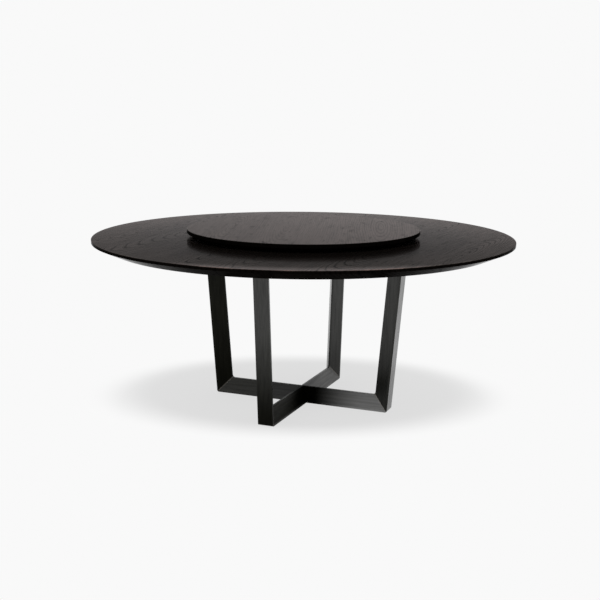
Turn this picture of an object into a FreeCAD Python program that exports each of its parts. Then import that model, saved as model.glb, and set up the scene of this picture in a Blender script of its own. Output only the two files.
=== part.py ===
import FreeCAD
import Part
import math
import os
import Sketcher

# Round dining table with a turning centre disc on a crossed frame of mitred legs and rails.
# Millimetres, Z up, origin on the floor under the centre of the top.
# The right leg stands on +X, the left on -X, the back on +Y and the front on -Y.

# Driving dimensions: alias and value
SIZES = (
    # table top
    ("table_height", 740),
    ("top_diameter", 1800),
    ("top_thickness", 44),
    ("top_edge", 12),
    ("top_bevel", 75),
    ("top_rim_width", 100),
    ("veneer", 1.5),
    ("backer", 1.5),
    ("arris", 1),
    # turning disc
    ("susan_diameter", 1000),
    ("susan_rise", 34),
    ("susan_gap", 5),
    ("susan_edge", 16),
    ("susan_bevel", 22),
    ("susan_rim_width", 60),
    ("recess_diameter", 356),
    # legs and rails share one section: outer face, square edge, two slanted faces, ridge
    ("foot_radius", 403),
    ("leg_lean", 4.7),
    ("section_width", 67),
    ("section_depth", 67),
    ("section_edge", 9),
    ("ridge_width", 9),
    ("corner_round", 9),
    ("ridge_round", 12),
    # loose tenon across each mitre
    ("tenon_thickness", 10),
    ("tenon_width", 24),
    ("tenon_length", 50),
    ("tenon_inset", 36),
    # plates between the legs and the top
    ("plate_thickness", 6),
    ("plate_length", 112),
    ("plate_width", 124),
    ("plate_margin", 16),
    ("plate_corner", 10),
    ("leg_bolt_inset", 20),
    ("leg_bolt_pitch", 24),
    # machine bolts and threaded inserts of the plates
    ("bolt_diameter", 8),
    ("bolt_head", 14),
    ("bolt_head_height", 5),
    ("bolt_sink_head", 17),
    ("insert_diameter", 12),
    ("insert_length", 22),
    ("bolt_reach", 18),
    # cross plate under the centre of the rails
    ("cross_arm", 150),
    ("cross_width", 40),
    ("cross_thickness", 5),
    ("cross_sink", 0.5),
    ("cross_screw_inner", 55),
    ("cross_screw_outer", 125),
    ("screw_diameter", 5),
    ("screw_head", 10),
    ("screw_length", 30),
    # floor glides
    ("glide_height", 3),
    ("glide_diameter", 42),
    ("glide_inset", 73),
    ("spigot_diameter", 6),
    ("spigot_length", 12),
    # ball bearing under the disc
    ("ball_diameter", 8),
    ("ball_circle", 300),
    ("ball_count", 12),
    ("groove_gap", 0.3),
    ("race_gap", 6),
    ("ring_width", 19),
    ("outer_ring_height", 11),
    ("inner_ring_lift", 3),
    ("bearing_height", 15),
    ("cage_thickness", 2.4),
    ("cage_height", 11),
    ("ring_screw_count", 8),
    ("ring_screw_diameter", 4),
    ("ring_screw_head", 8),
    ("ring_screw_length", 24),
    ("ring_bolt_count", 6),
    ("ring_bolt_diameter", 6),
    ("ring_bolt_head", 10),
    ("ring_bolt_head_height", 6),
    ("ring_bolt_reach", 9),
    ("washer_diameter", 18),
    ("washer_thickness", 1.6),
    # fits
    ("fit_gap", 0.1),
    ("clear_gap", 0.3),
)

# How close two positions are to count as one, and the least volume that a cut takes away
MATCH = 0.01
LEAST_CUT = 1

# Legs by the turn of their frame arm about the vertical
ARMS = (("right", 0), ("back", 90), ("left", 180), ("front", 270))

# Heights and radii that several pieces share, as expressions
TOP_RADIUS = "(dims.top_diameter / 2)"
UNDERSIDE = "(dims.table_height - dims.top_thickness)"
CORE_RADIUS = f"({TOP_RADIUS} - dims.top_rim_width)"
SUSAN_RADIUS = "(dims.susan_diameter / 2)"
SUSAN_TOP = "(dims.table_height + dims.susan_rise)"
SUSAN_BOTTOM = "(dims.table_height + dims.susan_gap)"
SUSAN_CORE = f"({SUSAN_RADIUS} - dims.susan_rim_width)"
FLOOR = "dims.glide_height"
RIDGE = f"({FLOOR} + dims.section_depth)"
LEG_TOP = f"({UNDERSIDE} - dims.plate_thickness)"
LEG_OUT = f"(dims.foot_radius + ({LEG_TOP} - {FLOOR}) * tan(dims.leg_lean))"
MITRE = "(45 - dims.leg_lean / 2)"
MITRE_RUN = f"(dims.section_depth * tan{MITRE})"
GLIDE_RADIUS = "(dims.foot_radius - dims.glide_inset)"
CROSS_TOP = f"({FLOOR} + dims.cross_sink + dims.cross_thickness)"
BALL_RADIUS = "(dims.ball_circle / 2)"
RECESS_TOP = "(dims.table_height + dims.bearing_height)"
INNER_RING_FOOT = "(dims.table_height + dims.inner_ring_lift)"
BALL_HEIGHT = "(dims.table_height + (dims.inner_ring_lift + dims.outer_ring_height) / 2)"
OUTER_RACE = f"({BALL_RADIUS} + dims.race_gap / 2)"
INNER_RACE = f"({BALL_RADIUS} - dims.race_gap / 2)"
RING_BOLT_CIRCLE = f"({OUTER_RACE} + dims.ring_width / 2)"
RING_SCREW_CIRCLE = f"({INNER_RACE} - dims.ring_width / 2)"
PLATE_OUT = f"({LEG_OUT} + dims.plate_margin)"
PLATE_IN = f"({PLATE_OUT} - dims.plate_length)"
# Spare length ahead of a mitre cut, and how far that cut runs past it
STUB = f"({MITRE_RUN} + dims.section_depth)"
CUT_REACH = f"({STUB} + dims.section_depth)"
GROOVE_DEPTH = "((dims.ball_diameter / 2 + dims.groove_gap) * sqrt(2) - dims.race_gap / 2)"

# Hole diameters with their fits, and depths of the sunk heads
INSERT_HOLE = "dims.insert_diameter + 2 * dims.fit_gap"
BOLT_THREAD = "dims.bolt_diameter + 2 * dims.fit_gap"
BOLT_HOLE = "dims.bolt_diameter + 2 * dims.clear_gap"
SCREW_HOLE = "dims.screw_diameter + 2 * dims.fit_gap"
SPIGOT_HOLE = "dims.spigot_diameter + 2 * dims.fit_gap"
RING_SCREW_HOLE = "dims.ring_screw_diameter + 2 * dims.fit_gap"
RING_BOLT_THREAD = "dims.ring_bolt_diameter + 2 * dims.fit_gap"
RING_BOLT_HOLE = "dims.ring_bolt_diameter + 2 * dims.clear_gap"
BALL_WINDOW = "dims.ball_diameter + 2 * dims.groove_gap"
BOLT_SINK = "(dims.bolt_sink_head - dims.bolt_diameter) / 2"
SCREW_SINK = "(dims.screw_head - dims.screw_diameter) / 2"
RING_SCREW_SINK = "(dims.ring_screw_head - dims.ring_screw_diameter) / 2"

doc = FreeCAD.newDocument("dining_table")
dims = doc.addObject("Spreadsheet::Sheet", "dims")
for row, (alias, size) in enumerate(SIZES, start=1):
    dims.set(f"A{row}", alias)
    dims.set(f"B{row}", str(size))
    dims.setAlias(f"B{row}", alias)
doc.recompute()

sub_parts = []


# Building blocks

def new_body(label, turn=0, separate=False):
    """A sub-part turned about the vertical; separate ones hold several solids."""
    body = doc.addObject("PartDesign::Body", label)
    body.Label = label
    body.AllowCompound = separate
    body.Placement = FreeCAD.Placement(FreeCAD.Vector(), FreeCAD.Rotation(FreeCAD.Vector(0, 0, 1), turn))
    sub_parts.append(body)
    return body


def origin_feature(body, role):
    return next(feature for feature in body.Origin.OriginFeatures if feature.Role == role)


def new_sketch(body, plane, height="0"):
    """An empty sketch on an origin plane, lifted along the plane's normal."""
    sketch = body.newObject("Sketcher::SketchObject", "Sketch")
    sketch.AttachmentSupport = [(origin_feature(body, plane), "")]
    sketch.MapMode = "FlatFace"
    sketch.setExpression("AttachmentOffset.Base.z", height)
    return sketch


def pin_point(sketch, edge, end, x, y):
    """Ties one end of a sketch edge to expressions measured from the origin."""
    for kind, expression in (("DistanceX", x), ("DistanceY", y)):
        index = sketch.addConstraint(Sketcher.Constraint(kind, -1, 1, edge, end, 1.0))
        sketch.setExpression(f"Constraints[{index}]", expression)


def add_loop(sketch, points):
    """A closed run of straight edges through points given as expressions."""
    first = sketch.GeometryCount
    count = len(points)
    turns = [i * math.tau / count for i in range(count)]
    spread = [FreeCAD.Vector(math.cos(turn), math.sin(turn)) for turn in turns]
    for i in range(count):
        sketch.addGeometry(Part.LineSegment(spread[i], spread[(i + 1) % count]))
    for i in range(count):
        sketch.addConstraint(Sketcher.Constraint("Coincident", first + i, 2, first + (i + 1) % count, 1))
        pin_point(sketch, first + i, 1, *points[i])


def outline(body, plane, *loops, height="0"):
    sketch = new_sketch(body, plane, height)
    for points in loops:
        add_loop(sketch, points)
    doc.recompute()
    return sketch


def circles(body, plane, diameter, centres, height="0"):
    sketch = new_sketch(body, plane, height)
    for x, y in centres:
        edge = sketch.addGeometry(Part.Circle(FreeCAD.Vector(), FreeCAD.Vector(0, 0, 1), 1))
        index = sketch.addConstraint(Sketcher.Constraint("Diameter", edge, 2))
        sketch.setExpression(f"Constraints[{index}]", diameter)
        pin_point(sketch, edge, 3, x, y)
    doc.recompute()
    return sketch


def mirrored(points):
    """The same loop on the other side of the first axis."""
    return [(x, f"-({y})") for x, y in points]


def swapped_mirror(points):
    """The same loop on the other side of the second axis."""
    return [(f"-({x})", y) for x, y in points]


def pad(body, sketch, length, symmetric=False):
    feature = body.newObject("PartDesign::Pad", "Pad")
    feature.Profile = sketch
    feature.SideType = "Symmetric" if symmetric else "One side"
    feature.setExpression("Length", length)
    doc.recompute()
    return feature


def pocket(body, sketch, length, symmetric=False, upward=False, lean=None):
    """A cut of a given depth, which has to take something away."""
    before = body.Shape.Volume
    feature = body.newObject("PartDesign::Pocket", "Pocket")
    feature.Profile = sketch
    feature.SideType = "Symmetric" if symmetric else "One side"
    feature.Reversed = upward
    if lean:
        feature.UseCustomVector = True
        feature.AlongSketchNormal = False
        feature.Direction = FreeCAD.Vector(0, 0, 1)
        feature.setExpression("Direction.x", f"sin({lean})")
        feature.setExpression("Direction.z", f"cos({lean})")
    feature.setExpression("Length", length)
    doc.recompute()
    if body.Shape.Volume > before - LEAST_CUT:
        raise RuntimeError(f"a cut in {body.Label} takes nothing away")
    return feature


def turn_solid(body, points, axis="0"):
    """A turned solid: points are radius and height about an upright axis at x = axis."""
    sketch = new_sketch(body, "XZ_Plane")
    add_loop(sketch, [(f"{axis} + {radius}", height) for radius, height in points])
    line = sketch.addGeometry(Part.LineSegment(FreeCAD.Vector(0, 1), FreeCAD.Vector(0, 2)), True)
    pin_point(sketch, line, 1, axis, "0")
    pin_point(sketch, line, 2, axis, "dims.table_height")
    feature = body.newObject("PartDesign::Revolution", "Revolution")
    feature.Profile = sketch
    feature.ReferenceAxis = (sketch, ["Axis0"])
    feature.Angle = 360
    doc.recompute()
    return feature


def round_array(body, originals, count):
    """Copies of features set evenly about the vertical through the centre."""
    pattern = body.newObject("PartDesign::PolarPattern", "PolarPattern")
    pattern.Originals = originals
    pattern.Axis = (origin_feature(body, "Z_Axis"), [""])
    pattern.Angle = 360
    pattern.setExpression("Occurrences", count)
    body.Tip = pattern
    doc.recompute()
    return pattern


def dress(body, kind, edges, size, prop):
    """A fillet or chamfer on named edges of the body's last feature."""
    base = body.Tip
    feature = body.newObject(f"PartDesign::{kind}", kind)
    feature.Base = (base, edges)
    feature.setExpression(prop, size)
    doc.recompute()
    return feature


def edge_names(body, wanted):
    names = [f"Edge{i}" for i, edge in enumerate(body.Shape.Edges, start=1) if wanted(edge)]
    if not names:
        raise RuntimeError(f"no such edge on {body.Label}")
    return names


def round_profile_corner(body, sketch, corner, radius):
    """Fillets the edge that a corner of the side profile leaves across the piece."""
    point = sketch.Geometry[corner].StartPoint
    spot = FreeCAD.Vector(point.x, 0, point.y)
    local = body.Placement.inverse()
    names = edge_names(body, lambda edge: local.multVec(edge.CenterOfMass).distanceToPoint(spot) < MATCH)
    return dress(body, "Fillet", names, radius, "Radius")


def round_edges(body, sketch, rise=0):
    """The round edges that the circles of a sketch leave at a height above it."""
    radius = sketch.Geometry[0].Radius
    height = sketch.Placement.Base.z + rise

    def is_wanted(edge):
        curve = edge.Curve
        if not isinstance(curve, Part.Circle):
            return False
        return abs(curve.Radius - radius) < MATCH and abs(curve.Center.z - height) < MATCH

    return edge_names(body, is_wanted)


# Table top: core board, bevelled solid rim, face veneer, backing veneer

def rim_profile(radius, width, top, bottom, edge, bevel):
    inner = f"{radius} - {width}"
    return [(inner, bottom), (f"{radius} - {bevel}", bottom), (radius, f"{top} - {edge}"),
            (radius, f"{top} - dims.veneer"), (inner, f"{top} - dims.veneer")]


def disc(body, radius, bottom, thickness):
    sketch = circles(body, "XY_Plane", f"2 * {radius}", [("0", "0")], bottom)
    pad(body, sketch, thickness)
    return sketch


def face_veneer(label, radius, top):
    body = new_body(label)
    sketch = disc(body, radius, f"{top} - dims.veneer", "dims.veneer")
    dress(body, "Chamfer", round_edges(body, sketch, float(dims.veneer)), "dims.arris", "Size")
    return body


def ring_bolt_holes(body, bottom, depth):
    """Clearance holes for the bolts that hold the outer ring of the bearing."""
    sketch = circles(body, "XY_Plane", RING_BOLT_HOLE, [(RING_BOLT_CIRCLE, "0")], bottom)
    round_array(body, [pocket(body, sketch, depth, upward=True)], "dims.ring_bolt_count")


def top_bolt_centres():
    """The four bolts of the right-hand plate."""
    across = "(dims.plate_width / 2 - dims.plate_margin)"
    ends = (f"{PLATE_IN} + dims.plate_margin", f"{PLATE_OUT} - dims.plate_margin")
    return [(x, y) for x in ends for y in (across, f"-{across}")]


def insert_holes(body, bottom, depth):
    """Blind or through holes for the sixteen inserts of the leg plates."""
    sketch = circles(body, "XY_Plane", INSERT_HOLE, top_bolt_centres(), bottom)
    round_array(body, [pocket(body, sketch, depth, upward=True)], str(len(ARMS)))


def make_top():
    core = new_body("top_core")
    core_thickness = "(dims.top_thickness - dims.veneer - dims.backer)"
    core_bottom = f"({UNDERSIDE} + dims.backer)"
    disc(core, CORE_RADIUS, core_bottom, core_thickness)
    ring_bolt_holes(core, core_bottom, core_thickness)
    insert_holes(core, core_bottom, "dims.insert_length - dims.backer")

    rim = new_body("top_rim")
    turn_solid(rim, rim_profile(TOP_RADIUS, "dims.top_rim_width", "dims.table_height", UNDERSIDE,
                                "dims.top_edge", "dims.top_bevel"))

    veneer = face_veneer("top_veneer", TOP_RADIUS, "dims.table_height")
    ring_bolt_holes(veneer, "dims.table_height - dims.veneer", "dims.veneer")

    backer = new_body("top_backer")
    disc(backer, CORE_RADIUS, UNDERSIDE, "dims.backer")
    ring_bolt_holes(backer, UNDERSIDE, "dims.backer")
    insert_holes(backer, UNDERSIDE, "dims.backer")


# Turning disc, hollowed underneath for its bearing

def make_susan():
    core = new_body("susan_core")
    core_bottom = f"({SUSAN_BOTTOM} + dims.backer)"
    disc(core, SUSAN_CORE, core_bottom, f"{SUSAN_TOP} - dims.veneer - {core_bottom}")
    recess = circles(core, "XY_Plane", "dims.recess_diameter", [("0", "0")], core_bottom)
    pocket(core, recess, f"{RECESS_TOP} - {core_bottom}", upward=True)
    pilot = circles(core, "XY_Plane", RING_SCREW_HOLE, [(RING_SCREW_CIRCLE, "0")], RECESS_TOP)
    depth = f"dims.ring_screw_length + {INNER_RING_FOOT} - {RECESS_TOP} + dims.clear_gap"
    round_array(core, [pocket(core, pilot, depth, upward=True)], "dims.ring_screw_count")

    rim = new_body("susan_rim")
    turn_solid(rim, rim_profile(SUSAN_RADIUS, "dims.susan_rim_width", SUSAN_TOP, SUSAN_BOTTOM,
                                "dims.susan_edge", "dims.susan_bevel"))

    face_veneer("susan_veneer", SUSAN_RADIUS, SUSAN_TOP)

    backer = new_body("susan_backer")
    disc(backer, SUSAN_CORE, SUSAN_BOTTOM, "dims.backer")
    hole = circles(backer, "XY_Plane", "dims.recess_diameter", [("0", "0")], SUSAN_BOTTOM)
    pocket(backer, hole, "dims.backer", upward=True)


# Crossed frame: each arm is a floor rail mitred to a leg

def mitre_line(steps):
    """A point on the mitre, counted in section depths from the outer corner."""
    return (f"dims.foot_radius - {steps} * {MITRE_RUN}", f"{FLOOR} + {steps} * dims.section_depth")


def tenon_outline(gap):
    """Side view of the loose tenon, square to the mitre, grown by a gap."""
    middle_x = f"dims.foot_radius - dims.tenon_inset * tan{MITRE}"
    middle_z = f"{FLOOR} + dims.tenon_inset"
    half_length = f"(dims.tenon_length / 2 + {gap})"
    half_thickness = f"(dims.tenon_thickness / 2 + {gap})"
    corners = []
    for along, across in (("-", "-"), ("+", "-"), ("+", "+"), ("-", "+")):
        x = f"{middle_x} {along} {half_length} * cos{MITRE} - ({across} {half_thickness} * sin{MITRE})"
        z = f"{middle_z} {along} {half_length} * sin{MITRE} {across} {half_thickness} * cos{MITRE}"
        corners.append((x, z))
    return corners


def cut_mortise(body):
    sketch = outline(body, "XZ_Plane", tenon_outline("dims.fit_gap"))
    pocket(body, sketch, "dims.tenon_width + 2 * dims.fit_gap", symmetric=True)


def make_leg(side, turn):
    leg = new_body(f"leg_{side}", turn)
    ridge_top = f"{LEG_OUT} - dims.section_depth / cos(dims.leg_lean)"
    stub = f"dims.foot_radius - {STUB}"
    profile = outline(leg, "XZ_Plane", [
        ("dims.foot_radius", FLOOR), (LEG_OUT, LEG_TOP), (ridge_top, LEG_TOP),
        mitre_line(1), (stub, RIDGE), (stub, FLOOR)])
    pad(leg, profile, "dims.section_width", symmetric=True)
    round_profile_corner(leg, profile, 0, "dims.corner_round")
    round_profile_corner(leg, profile, 3, "dims.ridge_round")

    # the two slanted faces run along the lean of the leg
    face = f"(dims.foot_radius - {FLOOR} * tan(dims.leg_lean))"
    edge_x = f"{face} - dims.section_edge / cos(dims.leg_lean)"
    ridge_x = f"{face} - dims.section_depth / cos(dims.leg_lean)"
    past_x = f"{face} - {CUT_REACH}"
    slant = [(edge_x, "dims.section_width / 2"), (ridge_x, "dims.ridge_width / 2"),
             (past_x, "dims.ridge_width / 2"), (past_x, "dims.section_width"),
             (edge_x, "dims.section_width")]
    slants = outline(leg, "XY_Plane", slant, mirrored(slant))
    pocket(leg, slants, "dims.table_height / cos(dims.leg_lean)", lean="dims.leg_lean")

    far = f"dims.foot_radius - {CUT_REACH}"
    low, high = mitre_line("-1"), mitre_line(2)
    beyond = outline(leg, "XZ_Plane", [low, high, (far, high[1]), (far, low[1])])
    pocket(leg, beyond, "2 * dims.section_width", symmetric=True)
    cut_mortise(leg)

    hole = circles(leg, "XY_Plane", INSERT_HOLE, leg_bolt_centres(), LEG_TOP)
    pocket(leg, hole, "dims.insert_length + dims.clear_gap")


def make_rail(side, turn):
    rail = new_body(f"rail_{side}", turn)
    stub_height = f"{FLOOR} + {STUB}"
    stub_out = f"dims.foot_radius + {STUB} * tan(dims.leg_lean)"
    stub_in = f"{stub_out} - dims.section_depth / cos(dims.leg_lean)"
    profile = outline(rail, "XZ_Plane", [
        ("0", FLOOR), ("dims.foot_radius", FLOOR), (stub_out, stub_height),
        (stub_in, stub_height), mitre_line(1), ("0", RIDGE)])
    pad(rail, profile, "dims.section_width", symmetric=True)
    round_profile_corner(rail, profile, 1, "dims.corner_round")
    round_profile_corner(rail, profile, 4, "dims.ridge_round")

    # the two slanted faces run along the floor
    edge_z = f"{FLOOR} + dims.section_edge"
    past_z = f"{FLOOR} + {CUT_REACH}"
    slant = [("dims.section_width / 2", edge_z), ("dims.ridge_width / 2", RIDGE),
             ("dims.ridge_width / 2", past_z), ("dims.section_width", past_z),
             ("dims.section_width", edge_z)]
    slants = outline(rail, "YZ_Plane", slant, swapped_mirror(slant))
    pocket(rail, slants, "dims.foot_radius + dims.section_depth", upward=True)

    far = f"dims.foot_radius + {CUT_REACH}"
    above = f"{FLOOR} + {CUT_REACH}"
    low, high = mitre_line("-1"), mitre_line(2)
    beyond = outline(rail, "XZ_Plane", [low, high, (high[0], above), (far, above), (far, low[1])])
    pocket(rail, beyond, "2 * dims.section_width", symmetric=True)
    cut_mortise(rail)

    # the inner end is a point of two upright mitres, so that four rails meet at the centre
    width = "dims.section_width"
    point = outline(rail, "XY_Plane", [("0", "0"), (width, f"-{width}"), (f"-{width}", f"-{width}"),
                                       (f"-{width}", width), (width, width)])
    pocket(rail, point, "dims.table_height", upward=True)

    # underside: recess of the cross plate, its pilot holes and the glide's socket
    arm = "dims.cross_arm + dims.clear_gap"
    half = "(dims.cross_width / 2 + dims.clear_gap)"
    recess = outline(rail, "XY_Plane", [("0", f"-{half}"), (arm, f"-{half}"), (arm, half), ("0", half)])
    pocket(rail, recess, CROSS_TOP, upward=True)
    pilots = circles(rail, "XY_Plane", SCREW_HOLE, cross_screw_centres(), CROSS_TOP)
    pocket(rail, pilots, "dims.screw_length - dims.cross_thickness + dims.clear_gap", upward=True)
    socket = circles(rail, "XY_Plane", SPIGOT_HOLE, [(GLIDE_RADIUS, "0")])
    pocket(rail, socket, f"{FLOOR} + dims.spigot_length + dims.clear_gap", upward=True)


def make_tenon(side, turn):
    tenon = new_body(f"tenon_{side}", turn)
    pad(tenon, outline(tenon, "XZ_Plane", tenon_outline("0")), "dims.tenon_width", symmetric=True)


def make_glide(side, turn):
    glide = new_body(f"glide_{side}", turn)
    disc_radius = "dims.glide_diameter / 2"
    spigot_radius = "dims.spigot_diameter / 2"
    spigot_top = f"{FLOOR} + dims.spigot_length"
    turn_solid(glide, [
        ("0", "0"), (f"{disc_radius} - dims.arris", "0"), (disc_radius, "dims.arris"),
        (disc_radius, FLOOR), (spigot_radius, FLOOR), (spigot_radius, spigot_top), ("0", spigot_top)],
        GLIDE_RADIUS)


# Fixings between legs and top

def leg_bolt_centres():
    first = f"{LEG_OUT} - dims.leg_bolt_inset"
    return [(first, "0"), (f"{first} - dims.leg_bolt_pitch", "0")]


def make_leg_plate(side, turn):
    plate = new_body(f"leg_plate_{side}", turn)
    half = "dims.plate_width / 2"
    corners = [(PLATE_IN, f"-{half}"), (PLATE_OUT, f"-{half}"), (PLATE_OUT, half), (PLATE_IN, half)]
    pad(plate, outline(plate, "XY_Plane", corners, height=LEG_TOP), "dims.plate_thickness")
    upright = edge_names(plate, lambda edge: edge.BoundBox.ZLength > float(dims.plate_thickness) / 2)
    dress(plate, "Fillet", upright, "dims.plate_corner", "Radius")
    sunk = circles(plate, "XY_Plane", BOLT_HOLE, leg_bolt_centres(), LEG_TOP)
    pocket(plate, sunk, "dims.plate_thickness", upward=True)
    mouths = round_edges(plate, sunk, float(dims.plate_thickness))
    dress(plate, "Chamfer", mouths, BOLT_SINK, "Size")
    plain = circles(plate, "XY_Plane", BOLT_HOLE, top_bolt_centres(), LEG_TOP)
    pocket(plate, plain, "dims.plate_thickness", upward=True)


def make_inserts(label, centres, foot):
    """Threaded sleeves that stand on a height, four sets about the centre."""
    inserts = new_body(label, separate=True)
    sleeves = circles(inserts, "XY_Plane", "dims.insert_diameter", centres, foot)
    body = pad(inserts, sleeves, "dims.insert_length")
    bores = circles(inserts, "XY_Plane", BOLT_THREAD, centres, foot)
    hole = pocket(inserts, bores, "dims.insert_length", upward=True)
    round_array(inserts, [body, hole], str(len(ARMS)))


def make_plate_fixings():
    make_inserts("leg_inserts", leg_bolt_centres(), f"{LEG_TOP} - dims.insert_length")
    make_inserts("top_inserts", top_bolt_centres(), UNDERSIDE)

    leg_bolts = new_body("leg_bolts", separate=True)
    head = "dims.bolt_sink_head / 2"
    shank = "dims.bolt_diameter / 2"
    tip = f"{LEG_TOP} - dims.bolt_reach"
    profile = [("0", tip), (shank, tip), (shank, f"{UNDERSIDE} - {BOLT_SINK}"), (head, UNDERSIDE),
               ("0", UNDERSIDE)]
    bolts = [turn_solid(leg_bolts, profile, x) for x, y in leg_bolt_centres()]
    round_array(leg_bolts, bolts, str(len(ARMS)))

    top_bolts = new_body("top_bolts", separate=True)
    seat = f"{LEG_TOP} - dims.bolt_head_height"
    rounds = circles(top_bolts, "XY_Plane", "dims.bolt_head", top_bolt_centres(), seat)
    heads = pad(top_bolts, rounds, "dims.bolt_head_height")
    rods = circles(top_bolts, "XY_Plane", "dims.bolt_diameter", top_bolt_centres(), LEG_TOP)
    shanks = pad(top_bolts, rods, "dims.plate_thickness + dims.bolt_reach")
    round_array(top_bolts, [heads, shanks], str(len(ARMS)))


# Cross plate that ties the four rails under their meeting point

def cross_screw_centres():
    return [("dims.cross_screw_inner", "0"), ("dims.cross_screw_outer", "0")]


def make_cross_plate():
    plate = new_body("cross_plate")
    arm = "dims.cross_arm"
    half = "dims.cross_width / 2"
    bottom = f"{FLOOR} + dims.cross_sink"
    corners = [(arm, f"-({half})"), (arm, half), (half, half)]
    loop = []
    for _ in ARMS:
        loop += corners
        corners = [(f"-({y})", x) for x, y in corners]
    pad(plate, outline(plate, "XY_Plane", loop, height=bottom), "dims.cross_thickness")
    holes = circles(plate, "XY_Plane", SCREW_HOLE, cross_screw_centres(), bottom)
    round_array(plate, [pocket(plate, holes, "dims.cross_thickness", upward=True)], str(len(ARMS)))
    dress(plate, "Chamfer", round_edges(plate, holes), SCREW_SINK, "Size")

    screws = new_body("cross_screws", separate=True)
    head = "dims.screw_head / 2"
    shank = "dims.screw_diameter / 2"
    top = f"{bottom} + dims.screw_length"
    profile = [("0", bottom), (head, bottom), (shank, f"{bottom} + {SCREW_SINK}"),
               (shank, f"{top} - dims.screw_diameter"), ("0", top)]
    solids = [turn_solid(screws, profile, x) for x, y in cross_screw_centres()]
    round_array(screws, solids, str(len(ARMS)))


# Ball bearing: outer ring on the table, inner ring under the disc, balls in a cage between them

def make_bearing():
    # each ring has a groove of two straight flanks that the balls touch at forty-five degrees
    groove_low = f"{BALL_HEIGHT} - {GROOVE_DEPTH}"
    groove_high = f"{BALL_HEIGHT} + {GROOVE_DEPTH}"

    outer = new_body("bearing_outer_ring")
    back = f"{OUTER_RACE} + dims.ring_width"
    outer_top = "dims.table_height + dims.outer_ring_height"
    turn_solid(outer, [
        (OUTER_RACE, "dims.table_height"), (back, "dims.table_height"), (back, outer_top),
        (OUTER_RACE, outer_top), (OUTER_RACE, groove_high), (f"{OUTER_RACE} + {GROOVE_DEPTH}", BALL_HEIGHT),
        (OUTER_RACE, groove_low)])
    tapped = circles(outer, "XY_Plane", RING_BOLT_THREAD, [(RING_BOLT_CIRCLE, "0")], "dims.table_height")
    thread = pocket(outer, tapped, "dims.ring_bolt_reach + dims.clear_gap", upward=True)
    round_array(outer, [thread], "dims.ring_bolt_count")

    inner = new_body("bearing_inner_ring")
    back = f"{INNER_RACE} - dims.ring_width"
    turn_solid(inner, [
        (back, INNER_RING_FOOT), (INNER_RACE, INNER_RING_FOOT), (INNER_RACE, groove_low),
        (f"{INNER_RACE} - {GROOVE_DEPTH}", BALL_HEIGHT), (INNER_RACE, groove_high),
        (INNER_RACE, RECESS_TOP), (back, RECESS_TOP)])
    holes = circles(inner, "XY_Plane", RING_SCREW_HOLE, [(RING_SCREW_CIRCLE, "0")], INNER_RING_FOOT)
    round_array(inner, [pocket(inner, holes, "dims.bearing_height", upward=True)], "dims.ring_screw_count")
    dress(inner, "Chamfer", round_edges(inner, holes), RING_SCREW_SINK, "Size")

    balls = new_body("bearing_balls", separate=True)
    ball = balls.newObject("PartDesign::AdditiveSphere", "Ball")
    ball.setExpression("Radius", "dims.ball_diameter / 2")
    ball.setExpression("Placement.Base.x", BALL_RADIUS)
    ball.setExpression("Placement.Base.z", BALL_HEIGHT)
    round_array(balls, [ball], "dims.ball_count")

    cage = new_body("ball_cage")
    half = "dims.cage_thickness / 2"
    low = f"{BALL_HEIGHT} - dims.cage_height / 2"
    high = f"{BALL_HEIGHT} + dims.cage_height / 2"
    turn_solid(cage, [(f"{BALL_RADIUS} - {half}", low), (f"{BALL_RADIUS} + {half}", low),
                      (f"{BALL_RADIUS} + {half}", high), (f"{BALL_RADIUS} - {half}", high)])
    window = circles(cage, "YZ_Plane", BALL_WINDOW, [("0", BALL_HEIGHT)])
    round_array(cage, [pocket(cage, window, "dims.ball_circle", upward=True)], "dims.ball_count")


def make_bearing_fixings():
    screws = new_body("ring_screws", separate=True)
    head = "dims.ring_screw_head / 2"
    shank = "dims.ring_screw_diameter / 2"
    top = f"{INNER_RING_FOOT} + dims.ring_screw_length"
    profile = [("0", INNER_RING_FOOT), (head, INNER_RING_FOOT),
               (shank, f"{INNER_RING_FOOT} + {RING_SCREW_SINK}"),
               (shank, f"{top} - dims.ring_screw_diameter"), ("0", top)]
    round_array(screws, [turn_solid(screws, profile, RING_SCREW_CIRCLE)], "dims.ring_screw_count")

    washers = new_body("ring_washers", separate=True)
    washer_foot = f"{UNDERSIDE} - dims.washer_thickness"
    inner = "dims.ring_bolt_diameter / 2 + dims.clear_gap"
    outer = "dims.washer_diameter / 2"
    profile = [(inner, washer_foot), (outer, washer_foot), (outer, UNDERSIDE), (inner, UNDERSIDE)]
    washer = turn_solid(washers, profile, RING_BOLT_CIRCLE)
    round_array(washers, [washer], "dims.ring_bolt_count")

    bolts = new_body("ring_bolts", separate=True)
    head_foot = f"{washer_foot} - dims.ring_bolt_head_height"
    head = "dims.ring_bolt_head / 2"
    shank = "dims.ring_bolt_diameter / 2"
    tip = "dims.table_height + dims.ring_bolt_reach"
    profile = [("0", head_foot), (head, head_foot), (head, washer_foot), (shank, washer_foot),
               (shank, tip), ("0", tip)]
    bolt = turn_solid(bolts, profile, RING_BOLT_CIRCLE)
    round_array(bolts, [bolt], "dims.ring_bolt_count")


make_top()
make_susan()
for side, turn in ARMS:
    make_leg(side, turn)
    make_rail(side, turn)
    make_tenon(side, turn)
    make_glide(side, turn)
    make_leg_plate(side, turn)
make_plate_fixings()
make_cross_plate()
make_bearing()
make_bearing_fixings()
doc.recompute()

for item in doc.Objects:
    if "Invalid" in item.State or "Error" in item.State:
        raise RuntimeError(f"{item.Label} failed: {item.State}")
for body in sub_parts:
    if body.Shape.isNull() or not body.Shape.isValid():
        raise RuntimeError(f"{body.Label} has no valid shape")

os.makedirs("parts", exist_ok=True)
for body in sub_parts:
    body.Shape.exportStep(f"parts/{body.Label}.step")
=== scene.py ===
import math
from dataclasses import dataclass

import bpy
from mathutils import Matrix, Vector

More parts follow.
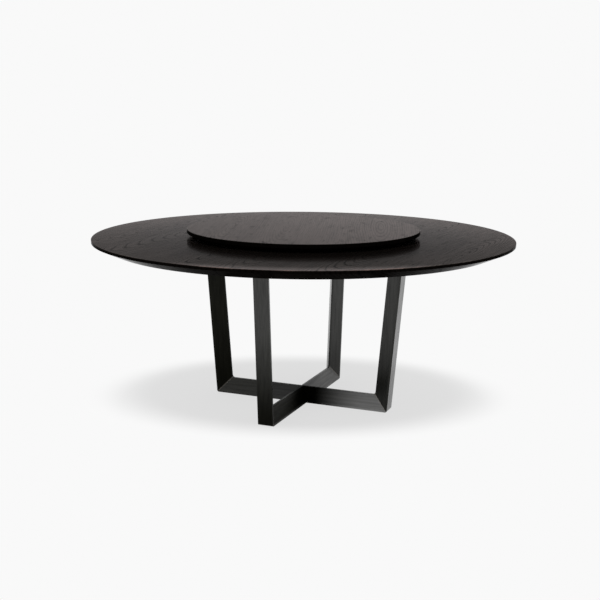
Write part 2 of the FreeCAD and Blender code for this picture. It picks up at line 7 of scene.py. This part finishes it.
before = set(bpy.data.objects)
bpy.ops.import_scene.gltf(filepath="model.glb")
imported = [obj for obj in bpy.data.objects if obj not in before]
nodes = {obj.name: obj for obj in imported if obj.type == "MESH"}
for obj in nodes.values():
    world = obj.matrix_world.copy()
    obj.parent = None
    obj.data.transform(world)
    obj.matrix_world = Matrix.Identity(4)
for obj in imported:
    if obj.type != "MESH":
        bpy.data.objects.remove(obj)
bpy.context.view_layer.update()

SIDES = ("right", "back", "left", "front")
X, Y, Z = range(3)


# Shader building blocks

class Graph:
    """The node tree of a material or a world, with short calls for the nodes that repeat."""

    def __init__(self, owner):
        owner.use_nodes = True
        self.tree = owner.node_tree
        self.tree.nodes.clear()

    def node(self, kind, inputs=None, **settings):
        made = self.tree.nodes.new(kind)
        for key, value in settings.items():
            setattr(made, key, value)
        for key, value in (inputs or {}).items():
            self.put(made.inputs[key], value)
        return made

    def put(self, socket, value):
        """Links a socket to another one, or sets its value."""
        if isinstance(value, bpy.types.NodeSocket):
            self.tree.links.new(value, socket)
        else:
            socket.default_value = value

    def math(self, operation, *values):
        made = self.node("ShaderNodeMath", operation=operation)
        for socket, value in zip(made.inputs, values):
            self.put(socket, value)
        return made.outputs[0]

    def plus(self, first, second):
        return self.math("ADD", first, second)

    def minus(self, first, second):
        return self.math("SUBTRACT", first, second)

    def times(self, first, second):
        return self.math("MULTIPLY", first, second)

    def size(self, value):
        return self.math("ABSOLUTE", value)

    def mapped(self, vector, scale=(1, 1, 1), offset=(0, 0, 0), turn=(0, 0, 0)):
        return self.node("ShaderNodeMapping", {
            "Vector": vector, "Location": offset, "Rotation": turn, "Scale": scale}).outputs[0]

    def length(self, vector):
        return self.node("ShaderNodeVectorMath", {0: vector}, operation="LENGTH").outputs["Value"]

    def radius(self, vector):
        """The distance from the upright axis."""
        return self.length(self.mapped(vector, (1, 1, 0)))

    def parts(self, vector):
        return self.node("ShaderNodeSeparateXYZ", {"Vector": vector}).outputs

    def noise(self, vector, scale, detail, roughness):
        return self.node("ShaderNodeTexNoise", {
            "Vector": vector, "Scale": scale, "Detail": detail, "Roughness": roughness}).outputs["Fac"]

    def remap(self, value, low, high, to_low, to_high, smooth=False):
        made = self.node("ShaderNodeMapRange", {
            "Value": value, "From Min": low, "From Max": high, "To Min": to_low, "To Max": to_high})
        made.interpolation_type = "SMOOTHSTEP" if smooth else "LINEAR"
        return made.outputs[0]

    def blend(self, factor, first, second):
        made = self.node("ShaderNodeMix", data_type="RGBA")
        self.put(made.inputs["Factor"], factor)
        self.put(made.inputs["A"], first)
        self.put(made.inputs["B"], second)
        return made.outputs["Result"]

    def bump(self, height, distance):
        return self.node("ShaderNodeBump", {"Height": height, "Distance": distance, "Strength": 1.0}).outputs[0]

    def either(self, factor, first, second):
        """Mixes two shaders."""
        return self.node("ShaderNodeMixShader", {0: factor, 1: first.outputs[0], 2: second.outputs[0]})

    def close(self, shader, kind="ShaderNodeOutputMaterial"):
        self.tree.links.new(shader.outputs[0], self.node(kind).inputs[0])

    def principled(self, looks):
        self.close(self.node("ShaderNodeBsdfPrincipled", looks))


def opaque(colour):
    return (*colour, 1)


# Dark stained open-grain wood

# turns the frame's axes to the photograph's: X to the right, Y away from the camera
VIEW_TURN = (0, 0, math.radians(-21.9))
WHITE = (1, 1, 1)
# lighter colour of worn spots and of painted highlights on edges and mitres
WORN_AND_HIGHLIGHT = (0.2, 0.183, 0.165)

# noise layers: scale across, along and through the grain, detail, roughness
WANDER = ((6, 0.8, 6), 2.0, 0.5)
BROAD = ((22, 1.4, 22), 2.0, 0.5)
PORES = ((420, 11, 420), 2.0, 0.6)
FLECKS = ((60, 12, 60), 1.0, 0.5)
CLOUDS = ((30, 14, 30), 3.0, 0.6)
STREAK_ALONG, STREAK_DETAIL, STREAK_ROUGHNESS = 5.0, 3.0, 0.65
# the part of each noise's range that counts
NOISE_MEAN = 0.5
NOISE_SPAN = (0.25, 0.75)
FLECK_SPAN = (0.72, 0.78)
CLOUD_SPAN = (0.57, 0.74)
PORE_SPAN = (0.56, 0.68)

# how far each seed shifts the noise
SEED_STEP = (1.37, 0.61, 0.23)
# where the heart lies across its leaf, and how steeply the cut leaves it along the grain
HEART_ACROSS = (0.3, 0.7)
TAPER = 0.1
# ends of the early and the late wood, as shares of a ring, and the least contrast of a leaf's rings
EARLY_END, LATE_END = 0.3, 0.88
LEAST_CONTRAST = 0.3
# strength of the broad streaks, the pores added in early wood, and the tone in a pore
BROAD_SHARE = 0.1
BAND_PORES = 0.12
PIT_TONE = 0.3
# range of the figure, with the strength of the base lobe and of the coat at its two ends
FIGURE_SPAN = (0.2, 1.2)
GLEAM = (0.75, 0.15)
COAT_SHARE = (1.35, 0.55)

# the frame's mitre in side view: its outer corner and its normal
MITRE_FOOT = (0.403, 0.003)
MITRE_NORMAL = (0.7355, 0.6775)
# wear and painted glint beside the mitre: distances from it, then streaks and their effect
MITRE_LINE = (0.001, 0.0032)
MITRE_STREAKS = ((0.3, 0.7), (1.0, 0.5))

# wear and painted highlight on the top's edge, less at the sides than in the middle: each measure's range and its
# effect
EDGE_STREAKS = ((0.35, 0.65), (1.0, 0.25))
EDGE_SIDES = ((0.3, 0.75), (1.0, 0.1))
EDGE_PATCHES = ((0.4, 0.65), (0.1, 0.8))
EDGE_NOISE = (6.0, 2.0, 0.5)

# depths between which the front edge's coat ends, and cosines between which a face counts as turned sideways
LIP_DEPTH = (-0.86, -0.72)
OUTER_FACING = (0.8, 0.95)


@dataclass
class Grain:
    """The figure of a wood, with the grain along the turned Y axis and lengths in metres."""
    seed: int
    turn: tuple
    # width of a veneer leaf, and the leaves' offset counted in leaves
    leaf: float = 0.3
    joint: float = 0.0
    # distance of the growth rings, their strength, and how far they wander, counted in rings
    ring: float = 0.008
    bands: float = 0.0
    swing: float = 4.0
    # how far along the grain the heart of a leaf may lie from the centre
    heart: float = 0.8
    # strength and fineness of the streaks
    streaks: float = 0.7
    fine: float = 140
    # strength of the dark clouds, which bring flecks as strong as the streaks
    mottle: float = 0.0


@dataclass
class Gloss:
    """The base lobe: IOR, least and greatest roughness, tint."""
    ior: float
    smooth: float
    dull: float
    tint: tuple = WHITE


@dataclass
class Coat:
    """A clear coat whose weight goes from near at first to far at last, along an axis of the turned frame.

    A mirrored one counts from the centre both ways. outer is the weight on the face towards X, or -X for way -1.
    """
    axis: int
    first: float
    last: float
    near: float
    far: float
    rough: float
    ior: float
    turn: tuple = (0, 0, 0)
    tint: tuple = WHITE
    mirrored: bool = True
    outer: float = 0.0
    way: int = 1


def layer(g, place, kind):
    scale, detail, roughness = kind
    return g.noise(g.mapped(place, scale), 1.0, detail, roughness)


def grain_nodes(g, bare, grain):
    """The figure, whose high values are the open early wood, with its streaks and pits."""
    place = g.mapped(bare, offset=[grain.seed * step for step in SEED_STEP], turn=grain.turn)
    across, along, _ = g.parts(g.mapped(bare, turn=grain.turn))

    # each leaf of veneer has its own cut through the tree, so the rings show as long ellipses round its heart
    column = g.plus(g.math("DIVIDE", across, grain.leaf), grain.joint)
    chance = g.node("ShaderNodeTexWhiteNoise", {"W": g.math("FLOOR", column)}, noise_dimensions="1D")
    pick = g.node("ShaderNodeSeparateColor", {"Color": chance.outputs["Color"]}).outputs
    middle = g.remap(pick[0], 0, 1, *HEART_ACROSS)
    local = g.times(g.minus(g.math("FRACT", column), middle), grain.leaf)
    depth = g.times(g.plus(along, g.remap(pick[1], 0, 1, -grain.heart, grain.heart)), TAPER)
    reach = g.math("SQRT", g.plus(g.times(local, local), g.times(depth, depth)))
    sway = g.times(g.minus(layer(g, place, WANDER), NOISE_MEAN), grain.ring * grain.swing)
    phase = g.math("FRACT", g.math("DIVIDE", g.plus(reach, sway), grain.ring))
    band = g.plus(g.remap(phase, 0.0, EARLY_END, 1.0, 0.0, True), g.remap(phase, LATE_END, 1.0, 0.0, 1.0, True))

    streak = layer(g, place, ((grain.fine, STREAK_ALONG, grain.fine), STREAK_DETAIL, STREAK_ROUGHNESS))
    pores = g.plus(layer(g, place, PORES), g.times(band, BAND_PORES))
    pits = g.remap(pores, *PORE_SPAN, 0.0, 1.0, True)
    contrast = g.remap(pick[2], LEAST_CONTRAST, 1.0, LEAST_CONTRAST * grain.bands, grain.bands)
    figure = g.times(band, contrast)
    figure = g.plus(figure, g.remap(streak, *NOISE_SPAN, 0.0, grain.streaks))
    figure = g.plus(figure, g.remap(layer(g, place, BROAD), *NOISE_SPAN, 0.0, BROAD_SHARE))
    if grain.mottle:
        figure = g.plus(figure, g.remap(layer(g, place, FLECKS), *FLECK_SPAN, 0.0, grain.streaks, True))
        figure = g.plus(figure, g.remap(layer(g, place, CLOUDS), *CLOUD_SPAN, 0.0, grain.mottle, True))
    return figure, streak, pits


def edge_wear_and_highlight(g, bare, streak, edge):
    """How far the rim of a round top is painted lighter between two radii, as wear and a painted highlight."""
    lateral = g.size(g.parts(g.mapped(bare, turn=VIEW_TURN))[X])
    lightened = g.remap(g.radius(bare), *edge, 0.0, 1.0, True)
    lightened = g.times(lightened, g.remap(streak, *EDGE_STREAKS[0], *EDGE_STREAKS[1]))
    lightened = g.times(lightened, g.remap(lateral, *EDGE_SIDES[0], *EDGE_SIDES[1], True))
    patches = g.remap(g.noise(bare, *EDGE_NOISE), *EDGE_PATCHES[0], *EDGE_PATCHES[1], True)
    return g.times(lightened, patches)


def mitre_wear_and_glint(g, bare, streak, arm):
    """How far a frame arm along an axis is painted lighter along the edges of its mitre, as wear and a painted
    glint.
    """
    flat = g.parts(bare)
    beside = g.times(g.minus(g.size(flat[arm]), MITRE_FOOT[0]), MITRE_NORMAL[0])
    above = g.times(g.minus(flat[Z], MITRE_FOOT[1]), MITRE_NORMAL[1])
    lightened = g.remap(g.size(g.plus(beside, above)), *MITRE_LINE, 1.0, 0.0, True)
    return g.times(lightened, g.remap(streak, *MITRE_STREAKS[0], *MITRE_STREAKS[1]))


def coat_weight(g, bare, figure, coat, lip):
    span = g.parts(g.mapped(bare, turn=coat.turn))[coat.axis]
    if coat.mirrored:
        span = g.size(span)
    weight = g.remap(span, coat.first, coat.last, coat.near, coat.far, True)
    if coat.outer:
        normal = g.node("ShaderNodeTexCoord").outputs["Normal"]
        facing = g.times(g.parts(normal)[X], coat.way)
        weight = g.math("MAXIMUM", weight, g.remap(facing, *OUTER_FACING, 0.0, coat.outer, True))
    if lip:
        first, last, extra = lip
        ahead = g.remap(span, *LIP_DEPTH, 1.0, 0.0, True)
        radius = g.radius(bare)
        weight = g.plus(weight, g.times(g.remap(radius, first, last, 0.0, extra), ahead))
    return g.times(weight, g.remap(figure, *FIGURE_SPAN, *COAT_SHARE))


def wood(name, grain, stain, gloss, relief, coat=None, disc_shade=None, edge=None, lip=None, arm=None, shade=None):
    """Stained wood with growth rings, streaks and pores.

    stain is the dark and the light colour, relief the depth of the grain.
    disc_shade is (radius, radius, share), painted shade round a disc: the light colour falls to that share inside
    the first radius.
    edge is the two radii between which a round top is painted lighter, as wear and a painted highlight.
    lip is (radius, radius, weight): the coat grows by that weight towards the front edge of a round top.
    arm is the axis of a frame arm, whose mitre is painted lighter along its edges, as wear and a painted glint.
    shade is (axis, distance, distance, share, gleam), painted shade: inside the first distance from the centre the
    light colour falls to that share, and the base lobe to that gleam.
    """
    material = bpy.data.materials.new(name)
    g = Graph(material)
    bare = g.node("ShaderNodeTexCoord").outputs["Object"]
    figure, streak, pits = grain_nodes(g, bare, grain)

    # open early wood is darker, duller and lower than the late wood
    tone = g.times(g.remap(figure, *FIGURE_SPAN, 1.0, 0.0), g.remap(pits, 0, 1, 1.0, PIT_TONE))
    level = g.remap(figure, *FIGURE_SPAN, *GLEAM)
    # painted shade: the colour darkens inside a radius, round the disc
    if disc_shade:
        first, last, share = disc_shade
        tone = g.times(tone, g.remap(g.radius(bare), first, last, share, 1.0, True))
    # painted shade: darker towards the centre along an axis
    if shade:
        axis, first, last, share, gleam = shade
        out = g.size(g.parts(bare)[axis])
        tone = g.times(tone, g.remap(out, first, last, share, 1.0, True))
        level = g.times(level, g.remap(out, first, last, gleam, 1.0, True))
    dark, light = stain
    colour = g.blend(tone, opaque(dark), opaque(light))
    # edges and mitres painted lighter, as wear and painted highlights
    if edge:
        colour = g.blend(edge_wear_and_highlight(g, bare, streak, edge), colour, opaque(WORN_AND_HIGHLIGHT))
    if arm is not None:
        colour = g.blend(mitre_wear_and_glint(g, bare, streak, arm), colour, opaque(WORN_AND_HIGHLIGHT))

    lumps = g.bump(g.times(figure, -1.0), relief)
    looks = {
        "Base Color": colour, "Roughness": g.remap(figure, *FIGURE_SPAN, gloss.smooth, gloss.dull),
        "IOR": gloss.ior, "Normal": lumps, "Specular IOR Level": level, "Specular Tint": opaque(gloss.tint)}
    if coat:
        looks.update({
            "Coat Weight": coat_weight(g, bare, figure, coat, lip), "Coat Roughness": coat.rough,
            "Coat IOR": coat.ior, "Coat Normal": lumps, "Coat Tint": opaque(coat.tint)})
    g.principled(looks)
    return material


QUARTER = math.pi / 2
TOP_GRAIN = (0, 0, math.radians(3))
SUSAN_GRAIN = (0, 0, math.radians(-18))
STAIN = ((0.001, 0.0009, 0.0008), (0.018, 0.0154, 0.0137))
BASE_STAIN = ((0.001, 0.001, 0.0007), (0.008, 0.008, 0.0048))
BACKER_STAIN = ((0.002, 0.0016, 0.0014), (0.016, 0.0124, 0.011))
RIM_STAIN = ((0.0008, 0.0007, 0.0006), (0.0044, 0.0035, 0.003))
WARM = (1.0, 0.962, 0.956)
OLIVE = (1.0, 1.0, 0.7)

# The large faces show at a grazing angle, so their lobes have a low IOR. The coat is weaker at the front of the top,
# at the left of the disc and in the middle of the rims. The top's colour darkens round the disc as painted shade,
# and its rim is lighter as wear and a painted highlight.
top_wood = wood(
    "top_wood",
    Grain(seed=3, turn=TOP_GRAIN, leaf=0.3, joint=19.88, ring=0.009, bands=0.7, streaks=0.6, fine=170, mottle=0.2),
    STAIN, Gloss(ior=1.013, smooth=0.25, dull=0.36), relief=0.00004,
    coat=Coat(Y, first=-0.9, last=0.9, near=0.42, far=1.25, rough=0.1, ior=1.0152, turn=VIEW_TURN, tint=WARM,
              mirrored=False),
    disc_shade=(0.58, 0.84, 0.12), edge=(0.885, 0.897), lip=(0.815, 0.895, 2.6))
susan_wood = wood(
    "susan_wood",
    Grain(seed=6, turn=SUSAN_GRAIN, leaf=0.36, joint=20.5, ring=0.009, bands=0.5, swing=5.0, heart=0.2, streaks=0.45,
          mottle=0.5),
    STAIN, Gloss(ior=1.0155, smooth=0.18, dull=0.28), relief=0.00003,
    coat=Coat(X, first=-0.5, last=0.5, near=0.62, far=0.88, rough=0.1, ior=1.0165, turn=VIEW_TURN, tint=WARM,
              mirrored=False))
rim_wood = wood(
    "rim_wood", Grain(seed=7, turn=TOP_GRAIN, leaf=0.21, ring=0.012, bands=0.5),
    RIM_STAIN, Gloss(ior=1.004, smooth=0.2, dull=0.3), relief=0.00005,
    coat=Coat(X, first=0.25, last=0.7, near=0.1, far=1.0, rough=0.12, ior=1.013, turn=VIEW_TURN))
backer_wood = wood(
    "backer_wood", Grain(seed=9, turn=TOP_GRAIN, leaf=0.3, ring=0.012, bands=0.5),
    BACKER_STAIN, Gloss(ior=1.2, smooth=0.5, dull=0.65), relief=0.00005)

# The base: the coat varies from piece to piece, up each leg and outward along each rail. Two legs and a rail have
# a coat of their own on the face that turns to the right or to the left. The colour darkens as painted shade
# towards the foot of each leg and towards the crossing of the rails.
LEG_SEED, RAIL_SEED = 10, 20
BASE_GLOSS = Gloss(ior=1.1, smooth=0.3, dull=0.5, tint=OLIVE)
BASE_RELIEF = 0.00006
ARM_AXIS = {"right": X, "back": Y, "left": X, "front": Y}
LEG_GRAIN = (QUARTER, 0, 0)
LEG_COAT = {"right": (0.33, 0.7), "back": (0.6, 0.84), "left": (0.03, 0.1), "front": (0.04, 1.0)}
LEG_OUTER = {"right": (1.0, 1), "left": (1.0, -1)}
LEG_SHADE = (Z, 0.05, 0.35, 0.35, 1.0)
RAIL_GRAIN = {X: (0, 0, QUARTER), Y: (0, 0, 0)}
RAIL_COAT = {"right": (0.0, 1.25), "back": (0.9, 0.95), "left": (0.9, 0.65), "front": (0.0, 0.12)}
RAIL_OUTER = {"front": (0.9, -1)}
RAIL_IOR = {"right": 2.2, "back": 1.5, "left": 1.5, "front": 1.5}
RAIL_SHADE = (0.06, 0.25, 0.2, 0.1)
NO_OUTER = (0.0, 1)


def leg_wood(side, count):
    near, far = LEG_COAT[side]
    outer, way = LEG_OUTER.get(side, NO_OUTER)
    coat = Coat(Z, first=0.03, last=0.5, near=near, far=far, rough=0.3, ior=1.5, outer=outer, way=way)
    return wood(f"leg_{side}_wood", Grain(LEG_SEED + count, LEG_GRAIN), BASE_STAIN, BASE_GLOSS, BASE_RELIEF, coat,
                arm=ARM_AXIS[side], shade=LEG_SHADE)


def rail_wood(side, count):
    axis = ARM_AXIS[side]
    near, far = RAIL_COAT[side]
    outer, way = RAIL_OUTER.get(side, NO_OUTER)
    coat = Coat(axis, first=0.06, last=0.3, near=near, far=far, rough=0.5, ior=RAIL_IOR[side], outer=outer, way=way)
    return wood(f"rail_{side}_wood", Grain(RAIL_SEED + count, RAIL_GRAIN[axis]), BASE_STAIN, BASE_GLOSS, BASE_RELIEF,
                coat, arm=axis, shade=(axis, *RAIL_SHADE))


# Metals, plastics and raw wood

# the specks' noise, its range, the roughness at the two ends as shares, and the relief
SPECK_DETAIL, SPECK_ROUGHNESS = 4.0, 0.6
SPECK_SPAN = (0.3, 0.7)
SPECK_DULL = (0.8, 1.2)
SPECK_RELIEF = 0.00005


def plain(name, low, high, rough, grain, metallic=0.0):
    """A painted, turned, moulded or raw surface with slight unevenness. grain is the fineness of its specks."""
    material = bpy.data.materials.new(name)
    g = Graph(material)
    place = g.node("ShaderNodeTexCoord").outputs["Object"]
    speck = g.noise(place, grain, SPECK_DETAIL, SPECK_ROUGHNESS)
    dullness = g.remap(speck, *SPECK_SPAN, *(rough * share for share in SPECK_DULL))
    g.principled({
        "Base Color": g.blend(speck, opaque(low), opaque(high)), "Metallic": metallic, "Roughness": dullness,
        "Normal": g.bump(speck, SPECK_RELIEF)})
    return material


black_steel = plain("black_steel", (0.012, 0.012, 0.013), (0.022, 0.022, 0.023), 0.55, 900.0)
zinc_steel = plain("zinc_steel", (0.5, 0.5, 0.5), (0.66, 0.66, 0.64), 0.35, 300.0, metallic=1.0)
brass = plain("brass", (0.6, 0.44, 0.16), (0.75, 0.56, 0.24), 0.35, 300.0, metallic=1.0)
aluminium = plain("aluminium", (0.62, 0.63, 0.65), (0.75, 0.76, 0.78), 0.3, 250.0, metallic=1.0)
ball_steel = plain("ball_steel", (0.6, 0.6, 0.61), (0.7, 0.7, 0.71), 0.12, 200.0, metallic=1.0)
cage_plastic = plain("cage_plastic", (0.6, 0.6, 0.56), (0.68, 0.68, 0.64), 0.5, 150.0)
glide_plastic = plain("glide_plastic", (0.02, 0.02, 0.02), (0.035, 0.035, 0.035), 0.6, 400.0)
board = plain("board", (0.36, 0.25, 0.14), (0.5, 0.37, 0.22), 0.8, 350.0)
beech = plain("beech", (0.5, 0.32, 0.17), (0.6, 0.4, 0.23), 0.6, 250.0)


def dress(names, material):
    for name in names:
        slots = nodes[name].data.materials
        slots.clear()
        slots.append(material)


def per_side(name):
    return [f"{name}_{side}" for side in SIDES]


dress(["top_veneer"], top_wood)
dress(["susan_veneer"], susan_wood)
dress(["top_rim", "susan_rim"], rim_wood)
dress(["top_backer", "susan_backer"], backer_wood)
for count, side in enumerate(SIDES):
    dress([f"leg_{side}"], leg_wood(side, count))
    dress([f"rail_{side}"], rail_wood(side, count))
dress(["top_core", "susan_core"], board)
dress(per_side("tenon"), beech)
dress(per_side("leg_plate") + ["cross_plate"], black_steel)
dress(["leg_bolts", "top_bolts", "cross_screws", "ring_screws", "ring_washers", "ring_bolts"], zinc_steel)
dress(["leg_inserts", "top_inserts"], brass)
dress(["bearing_outer_ring", "bearing_inner_ring"], aluminium)
dress(["bearing_balls"], ball_steel)
dress(["ball_cage"], cage_plastic)
dress(per_side("glide"), glide_plastic)


# Stage: pale floor, soft light from above, even surroundings

# what the camera and reflections see of the surroundings, and the light that these give
PAPER = 0.947
AMBIENT = 0.5
FLOOR_HALF = 30
FLOOR_GREY = (0.8, 0.8, 0.8)
# the ellipse in which the floor keeps its shadow, and the share of paper inside it
SHADOW_CENTRE = (-0.058, 0.144, 0)
SHADOW_TURN = (0, 0, math.radians(21.9))
SHADOW_SHAPE = (1, 0.72, 1)
SHADOW_REACH = (0.66, 1.0)
SHADOW_PAPER = 0.707
SUN_STRENGTH, SUN_ANGLE, SUN_HEIGHT = 1.9, math.radians(17), 4
CAMERA_PLACE = (1.6484, -4.1413, 1.3519)
CAMERA_HEADING = (-0.3725, 0.9280, 0)
CAMERA_PITCH, CAMERA_ROLL = math.radians(11.364), math.radians(0.49)
CAMERA_SENSOR, CAMERA_LENS = 36, 62.48


def seen_directly(g):
    """1 for rays from the camera and for those in gloss and glass, else 0."""
    path = g.node("ShaderNodeLightPath").outputs
    seen = g.math("MAXIMUM", path["Is Camera Ray"], path["Is Glossy Ray"])
    return g.math("MAXIMUM", seen, path["Is Transmission Ray"])


def floor_material():
    material = bpy.data.materials.new("floor")
    g = Graph(material)
    matt = g.node("ShaderNodeBsdfDiffuse", {"Color": opaque(FLOOR_GREY)})
    glow = g.node("ShaderNodeEmission", {"Color": opaque(WHITE), "Strength": PAPER})
    # the shadow fades into the white paper round it
    bare = g.node("ShaderNodeTexCoord").outputs["Object"]
    place = g.node("ShaderNodeMapping", {
        "Vector": bare, "Location": SHADOW_CENTRE, "Rotation": SHADOW_TURN, "Scale": SHADOW_SHAPE},
        vector_type="TEXTURE")
    whiteness = g.remap(g.length(place.outputs[0]), *SHADOW_REACH, SHADOW_PAPER, 1.0, True)
    paper = g.either(g.times(seen_directly(g), whiteness), matt, glow)
    # from below the floor lets the underside be seen
    below = g.node("ShaderNodeNewGeometry").outputs["Backfacing"]
    g.close(g.either(below, paper, g.node("ShaderNodeBsdfTransparent")))
    return material


def make_floor():
    low, high = -FLOOR_HALF, FLOOR_HALF
    mesh = bpy.data.meshes.new("floor")
    mesh.from_pydata([(low, low, 0), (high, low, 0), (high, high, 0), (low, high, 0)], [], [(0, 1, 2, 3)])
    mesh.materials.append(floor_material())
    floor = bpy.data.objects.new("floor", mesh)
    bpy.context.scene.collection.objects.link(floor)


def make_world():
    world = bpy.data.worlds.new("surroundings")
    bpy.context.scene.world = world
    g = Graph(world)
    level = g.remap(seen_directly(g), 0, 1, AMBIENT, PAPER)
    g.close(g.node("ShaderNodeBackground", {"Color": opaque(WHITE), "Strength": level}), "ShaderNodeOutputWorld")


def make_lamp():
    lamp = bpy.data.lights.new("overhead", "SUN")
    lamp.energy = SUN_STRENGTH
    lamp.angle = SUN_ANGLE
    holder = bpy.data.objects.new("overhead", lamp)
    holder.location = (0, 0, SUN_HEIGHT)
    bpy.context.scene.collection.objects.link(holder)


def make_camera():
    ahead = Vector(CAMERA_HEADING).normalized()
    forward = ahead * math.cos(CAMERA_PITCH) - Vector((0, 0, math.sin(CAMERA_PITCH)))
    level = ahead.cross(Vector((0, 0, 1))).normalized()
    upright = level.cross(forward).normalized()
    right = level * math.cos(CAMERA_ROLL) + upright * math.sin(CAMERA_ROLL)
    up = right.cross(forward).normalized()
    data = bpy.data.cameras.new("camera")
    data.sensor_width = CAMERA_SENSOR
    data.lens = CAMERA_LENS
    camera = bpy.data.objects.new("camera", data)
    turned = Matrix((right, up, -forward)).transposed().to_4x4()
    camera.matrix_world = Matrix.Translation(CAMERA_PLACE) @ turned
    bpy.context.scene.collection.objects.link(camera)
    bpy.context.scene.camera = camera


make_floor()
make_world()
make_lamp()
make_camera()
bpy.context.scene.view_settings.view_transform = "Standard"
